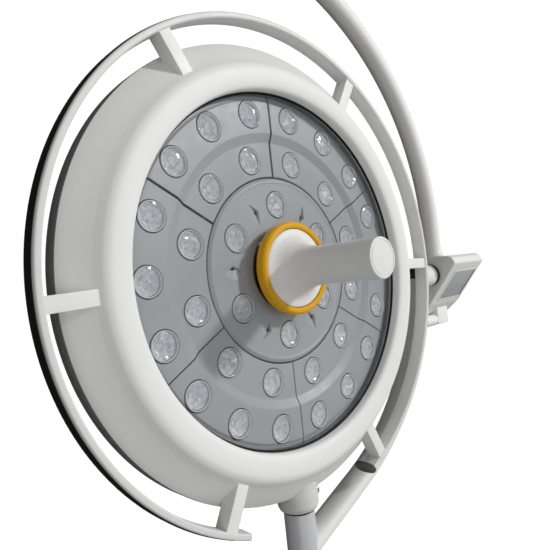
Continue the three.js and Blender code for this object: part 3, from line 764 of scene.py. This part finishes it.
turn("coupling_cover_v", fillet([(35.4, TOP - 77), (39.4, TOP - 77), (42, TOP - 60), (42, TOP - 12.3), (35.4, TOP - 12.3)], [.5, 1.8, 12, 1.5, 0], closed=True), "y", (0, 0, AXN), SHELL,
     "arm_coupling", ["coupling_cover"])
turn("bow_spindle_v", fillet([(0, bt + 6.4), (20, bt + 6.4), (20, TOP - 28.7), (16, TOP - 28.7), (16, TOP - 25.3), (20, TOP - 25.3), (20, TOP - 16), (0, TOP - 16)], [0, .3, .3, .3, .3, .3, 1.5, 0]), "y",
     (0, 0, AXN), STEEL, "outer_bow", ["bow_spindle"])
turn("retaining_ring_v", fillet([(16.4, TOP - 28.4), (25, TOP - 28.4), (25, TOP - 25.6), (16.4, TOP - 25.6)], .4, closed=True), "y", (0, 0, AXN), STEEL, "outer_bow", ["retaining_ring"])

# ------------------------------------------------------------------ inner bow
B2R, B2W, B2D, B2A = 380.0, 13.0, 21.0, 22.0
path = []
for i in range(71):
    a = math.radians(83.5 + (B2A - 83.5) * i / 70)
    rad = (math.sin(a), -math.cos(a), 0)
    path.append(((B2R * rad[0], B2R * rad[1], AXN), rad, (0, 0, 1)))
a = math.radians(B2A)
rad = (math.sin(a), -math.cos(a), 0)
px, py = polar(B2R, B2A)
run = (px + 2) / math.cos(a)
for i in range(1, 13):
    d = (run - 4) * i / 12
    path.append(((px - d * math.cos(a), py - d * math.sin(a), AXN), rad, (0, 0, 1)))
v, f = sweep_vf(path, superellipse(B2W, B2D, 40, 2.5))
hubp = fillet([(19.3, 366.6), (20.6, 366.6), (21.5, 368.5), (21.5, 400), (21.5, 426.5), (20.6, 428), (14.4, 428), (14.4, 371.4), (19.3, 371.4)], [.3, .6, 1, 0, 1, .6, 0, 0, 0], closed=True)
v2, f2 = lathe_vf(hubp, 64, "x", (0, SIDE_Y, AXN))
V, F, M = merged([(v, f, 0), (v2, f2, 0)])
make("inner_bow_tube_v", V, F, WHITE, "inner_bow", ["inner_bow_tube"], sharp=40)
turn("hub_cap_v", fillet([(0, 364.9), (17.6, 364.9), (19, 366.2), (19, 371), (0, 371)], [0, 1, .6, 0, 0]), "x", (0, SIDE_Y, AXN), DARK, "inner_bow", ["hub_cap"], seg=64)
turn("hub_seal_ring_v", fillet([(14.6, 428.3), (21.7, 428.3), (21.7, 431.6), (20.2, 432.6), (21.7, 433.6), (21.7, 437.2), (14.6, 437.2)], [0, 1, .6, .5, .6, 1, 0], closed=True), "x", (0, SIDE_Y, AXN), DARK, "inner_bow", ["hub_seal_ring"], seg=64)
turn("side_axle_v", fillet([(0, 380.3), (14, 380.3), (14, 501.5), (18.8, 501.5), (18.8, 506.8), (0, 506.8)], [0, .5, .3, .8, .8, 0]), "x", (0, SIDE_Y, AXN), STEEL, "inner_bow", ["side_axle"], seg=64)
PR = 22.7
turn("post_tube_v", fillet([(12.4, -349.8), (PR - 0.1, -349.8), (PR, -352), (PR, -445.8), (12.4, -445.8), (12.4, -425)], [.3, .5, 0, .5, 0, 0], closed=True), "y", (0, 0, AXN), POST, "inner_bow",
     ["post_tube"], seg=80)
turn("post_foot_v", [(0, -446.2), (22.2, -446.2)] + spline([(22.9, -447.0), (22.2, -450.6), (19.5, -454.2), (14, -457.2), (7, -458.7), (0, -458.95)], 4), "y", (0, 0, AXN), WHITE, "inner_bow", ["post_foot"], seg=80)
turn("pivot_pin_v", fillet([(0, -424.6), (12, -424.6), (12, -300.2), (0, -300.2)], [0, .8, .8, 0]), "y", (0, 0, AXN), STEEL, "inner_bow", ["pivot_pin"], seg=48)
# boss on the head, in white paint darkened as painted shade
BS = 29.5
turn("pivot_boss_v", fillet([(12.4, -283.2), (BS, -283.2), (BS, -318), (BS + 0.7, -324), (BS + 0.7, -340), (BS - 2.0, -346), (12.4, -346)], [0, 0, 8, 8, 4, 1.2, .5], closed=True), "y", (0, 0, AXN), BOSS_SHADED,
     "lamp_head", ["pivot_boss"], seg=96)
turn("post_seal_ring_v", fillet([(12.6, -349.4), (24.5, -349.4), (24.5, -346.3), (12.6, -346.3)], [0, 1, 1, 0], closed=True), "y", (0, 0, AXN), RUBBER, "lamp_head", ["post_seal_ring"], seg=80)
scr = fillet([(0, 22.5), (6, 22.5), (6, 31), (8.4, 31), (8.4, 38.2), (7.6, 39.3), (3.4, 39.3), (3.4, 36.0), (0, 36.0)], [0, 0, 0, .5, .8, .8, .2, .2, 0])
turn("brake_screw_v", scr, "x", (0, -333, AXN), STEEL, "lamp_head", ["brake_screw"], seg=40)

# ------------------------------------------------------------------ control panel on the outer bow
PX0, PX1 = (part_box("panel_housing")[0].x - C.x) * 1000 + 0.1, (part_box("panel_housing")[1].x - C.x) * 1000 - 0.1
pp = fillet([(8, -9), (14, -20), (-53, -103.3), (-80, -125), (-92, -125), (-92, -12), (-84, -4), (0, -4)], [5, 6, 3, 5, 2, 5, 5, 7], steps=5, closed=True)
nP = len(pp)
cx_, cy_ = -40.0, -50.0
verts, faces, rows = [], [], []
for x, inset in ((PX0, 4.0), (PX0 + 1.2, 1.3), (PX0 + 3.6, 0.2), (PX0 + 6, 0), (PX1 - 6, 0), (PX1 - 3.6, 0.2), (PX1 - 1.2, 1.3), (PX1, 4.0)):
    row = []
    for n_, u_ in pp:
        d = np.array([cx_ - n_, cy_ - u_])
        d = d / np.linalg.norm(d) * inset
        row.append(len(verts))
        verts.append(L(x, u_ + d[1], n_ + d[0]))
    rows.append(row)
for a_, b_ in zip(rows[:-1], rows[1:]):
    for i in range(nP):
        faces.append([a_[i], a_[(i + 1) % nP], b_[(i + 1) % nP], b_[i]])
faces.append(rows[0][::-1])
faces.append(rows[-1])
housing = make("panel_housing_v", verts, faces, SHELL, "outer_bow", ["panel_housing"], sharp=30)
FA = math.atan2(78, 97)


def face(x, y, z):
    """Operating face: y up along the face from the line at its top, z outward."""
    return (x, -37.4 + y * math.cos(FA) - z * math.sin(FA), y * math.sin(FA) + z * math.cos(FA))


def box_vf(c, xf=None):
    x0, x1, y0, y1, z0, z1 = c
    vs = [(x, y, z) for x in (x0, x1) for y in (y0, y1) for z in (z0, z1)]
    vs = [L(*(xf(*q) if xf else q)) for q in vs]
    return vs, [[0, 1, 3, 2], [4, 6, 7, 5], [0, 4, 5, 1], [2, 3, 7, 6], [0, 2, 6, 4], [1, 5, 7, 3]]


carve(housing, [cutter(*box_vf((458, 556, -74, 3, -3.2, 12), face)), cutter(*box_vf((466, 548, -66, -6, -12, 12), face)),
                cutter(*box_vf((PX0 + 5, PX1 - 4.5, -120, -9, -95, -88.2)))], sharp=30)
boxy("panel_bracket", (487, 530, -147.5, -108, -90, -64), SHELL, "outer_bow", bevel=3, seg=4)
boxy("panel_back_cover_v", (PX0 + 5.3, PX1 - 4.8, -119.7, -9.3, -92, -88.4), SHELL, "outer_bow", ["panel_back_cover"], bevel=1.0)
key = boxy("panel_keypad_v", (458.3, 555.7, -73.7, 2.7, -3.0, 0.6), SHELL, "outer_bow", ["panel_keypad"], bevel=0.8, xf=face)
carve(key, [cutter(*box_vf((464.0, 550.0, -70.0, -1.5, -1.3, 5), face))], sharp=30)
boxy("panel_display_v", (464.3, 546.2, -69.7, -1.8, -1.2, 0.1), DISPLAY, "outer_bow", ["panel_display"], bevel=0.4, seg=2, xf=face)
boxy("panel_display_edge", (546.6, 549.7, -69.7, -1.8, -1.2, 0.2), DARK, "outer_bow", bevel=0.5, seg=2, xf=face)
parts = []
for r_ in range(2):
    for c_ in range(4):
        x0, y0 = 470 + c_ * 18.6, -64 + r_ * 17
        bm = bmesh.new()
        bmesh.ops.create_cube(bm, size=1.0)
        for vv in bm.verts:
            vv.co = Vector((x0 + 7.2 + vv.co.x * 13.4, y0 + 6 + vv.co.y * 12, 0.0 + vv.co.z * 0.9))
        bmesh.ops.bevel(bm, geom=[e for e in bm.edges if abs(e.verts[0].co.z - e.verts[1].co.z) > 0.5], offset=2.4, segments=4, affect="EDGES")
        bm.verts.index_update()
        parts.append(([L(*face(*vv.co)) for vv in bm.verts], [[q.index for q in f_.verts] for f_ in bm.faces], 0))
        bm.free()
V, F, M = merged(parts)
make("panel_keys", V, F, KEYS, "outer_bow", sharp=30)
turn("panel_stub_v", fillet([(0, PX0 + 4), (8.5, PX0 + 4), (12, PX0 + 8), (12, 486.7), (0, 486.7)], [0, 2.5, 3.5, 0, 0], steps=6), "x", (0, -137.6, -76), SHELL, "outer_bow", ["panel_stub"], seg=48)

# ------------------------------------------------------------------ sterile handle
turn("handle_neck_v", fillet([(0, -44.4), (18, -44.4), (18, -26), (50, -24), (50, -9), (55.4, -6.5), (55.4, 0.6), (20, 0.6), (20, 117), (16.5, 121.8), (0, 121.8)],
                             [0, .8, 1, 1.5, 2, 1, .6, 1, 1, 2, 0]), "z", (0, 0, 0), DARK, "handle_hub", ["handle_neck"], seg=96)
turn("yellow_ring_v", fillet([(56.0, -7.4), (62.5, -7.4), (65.4, -5.0), (65.4, 6.2), (62.4, 9.0), (58.2, 9.0), (56.0, 7.4)], [.5, 1.5, 1.8, 2.4, 2.0, 1.2, .4], closed=True), "z", (0, 0, 0), YELLOW,
     "handle_hub", ["yellow_ring"], seg=128)
sl = [(20.7, 1.1), (54.0, 1.1), (54.9, 1.8), (54.9, 6.2), (53.8, 7.2)] + spline([(51, 8.0), (45.5, 10.4), (39.5, 15.0), (34.2, 21.6), (30.2, 29.2), (27.6, 39.5), (26.3, 50), (26.0, 60)], 5)
sl += [(26.0, 90), (26.0, 120)] + fillet([(26.0, 140), (26.0, 151.2), (22.4, 151.2), (22.1, 150.5), (21.5, 150.5), (21.2, 151.2), (0, 151.2)], [0, 2.6, .15, .15, .15, .15, 0])
sl += [(0, 147.6), (20.7, 147.6)]
v, f = lathe_vf(sl, 96, "z", (0, 0, 0))
make("handle_sleeve_v", v, f, SLEEVE, "sterile_handle", ["handle_sleeve"], sharp=40)

# ------------------------------------------------------------------ CAD nodes that stay, with their materials
keep = {"chassis_plate": ALU, "driver_box": ALU, "side_hub": ALU, "led_board": BOARD, "panel_board": BOARD}
for name, ob in nodes.items():
    if ob.hide_render:
        continue
    mt = keep.get(name, ALU)
    ob.data.materials.clear()
    ob.data.materials.append(mt)

# ------------------------------------------------------------------ stage
WORLD_DIR = (0.03, -0.19, 0.02)
WORLD_MEAN = 0.215
KEY_W = 275.0


def area(name, loc, target, size, energy, color=(1, 1, 1)):
    ld = bpy.data.lights.new(name, "AREA")
    ld.shape = "RECTANGLE"
    ld.size, ld.size_y = size
    ld.energy = energy
    ld.color = color
    ob = bpy.data.objects.new(name, ld)
    scene.collection.objects.link(ob)
    ob.location = loc
    ob.rotation_euler = (Vector(target) - Vector(loc)).to_track_quat("-Z", "Y").to_euler()
    return ob


H = Vector(L(0, 0, 0))
KEY = Vector((0.548, -0.727, 0.414)) * 7.0
area("key", H + KEY, H, (0.55, 0.55), KEY_W)
area("fill", H + Vector((-2.2, -2.8, -0.9)), H, (1.8, 1.8), 19)
area("side", H + Vector((3.3, -2.1, 0.2)), H, (2.0, 2.6), 27).visible_glossy = False

world = bpy.data.worlds.new("studio")
scene.world = world
world.use_nodes = True
wn = world.node_tree
wn.nodes.clear()


def wnode(kind, **inputs):
    n = wn.nodes.new(kind)
    for k_, v_ in inputs.items():
        n.inputs[k_].default_value = v_
    return n


# soft studio light: bright from the front and the right, dim from behind
wo = wnode("ShaderNodeOutputWorld")
tc = wnode("ShaderNodeTexCoord")
dot = wnode("ShaderNodeVectorMath")
dot.operation = "DOT_PRODUCT"
dot.inputs[1].default_value = WORLD_DIR
wn.links.new(tc.outputs["Generated"], dot.inputs[0])
grad = wnode("ShaderNodeMapRange")
grad.inputs["From Min"].default_value = -1.0
grad.inputs["From Max"].default_value = 1.0
grad.inputs["To Min"].default_value = WORLD_MEAN - 1.0
grad.inputs["To Max"].default_value = WORLD_MEAN + 1.0
wn.links.new(dot.outputs["Value"], grad.inputs["Value"])
floor_ = wnode("ShaderNodeMath")
floor_.operation = "MAXIMUM"
floor_.inputs[1].default_value = 0.05
wn.links.new(grad.outputs["Result"], floor_.inputs[0])
bg = wnode("ShaderNodeBackground")
bg.inputs["Color"].default_value = (1, 0.995, 0.985, 1)
wn.links.new(floor_.outputs[0], bg.inputs["Strength"])
white = wnode("ShaderNodeBackground")
white.inputs["Color"].default_value = (1, 1, 1, 1)
white.inputs["Strength"].default_value = 1.05
lp = wnode("ShaderNodeLightPath")
mixw = wnode("ShaderNodeMixShader")
wn.links.new(lp.outputs["Is Camera Ray"], mixw.inputs[0])
wn.links.new(bg.outputs[0], mixw.inputs[1])
wn.links.new(white.outputs[0], mixw.inputs[2])
wn.links.new(mixw.outputs[0], wo.inputs[0])

fm, nt, out = nt_new("floor_pale")
b = nt.nodes.new("ShaderNodeBsdfPrincipled")
v = tex_coord(nt)
nt.links.new(ramp(nt, noise(nt, v, 1.2), 0.3, 0.7, (0.86, 0.86, 0.86), (0.9, 0.9, 0.9)), b.inputs["Base Color"])
b.inputs["Roughness"].default_value = 0.8
b.inputs["Emission Color"].default_value = (1, 1, 1, 1)
b.inputs["Emission Strength"].default_value = 0.8
nt.links.new(b.outputs[0], out.inputs[0])
me = bpy.data.meshes.new("floor")
s = 14.0
me.from_pydata([(-s, -s, -3.2), (s, -s, -3.2), (s, s, -3.2), (-s, s, -3.2)], [], [(0, 1, 2, 3)])
me.materials.append(fm)
floor = bpy.data.objects.new("floor", me)
scene.collection.objects.link(floor)
floor.visible_diffuse = False
floor.visible_glossy = False

scene.view_settings.view_transform = "Standard"
scene.view_settings.look = "None"
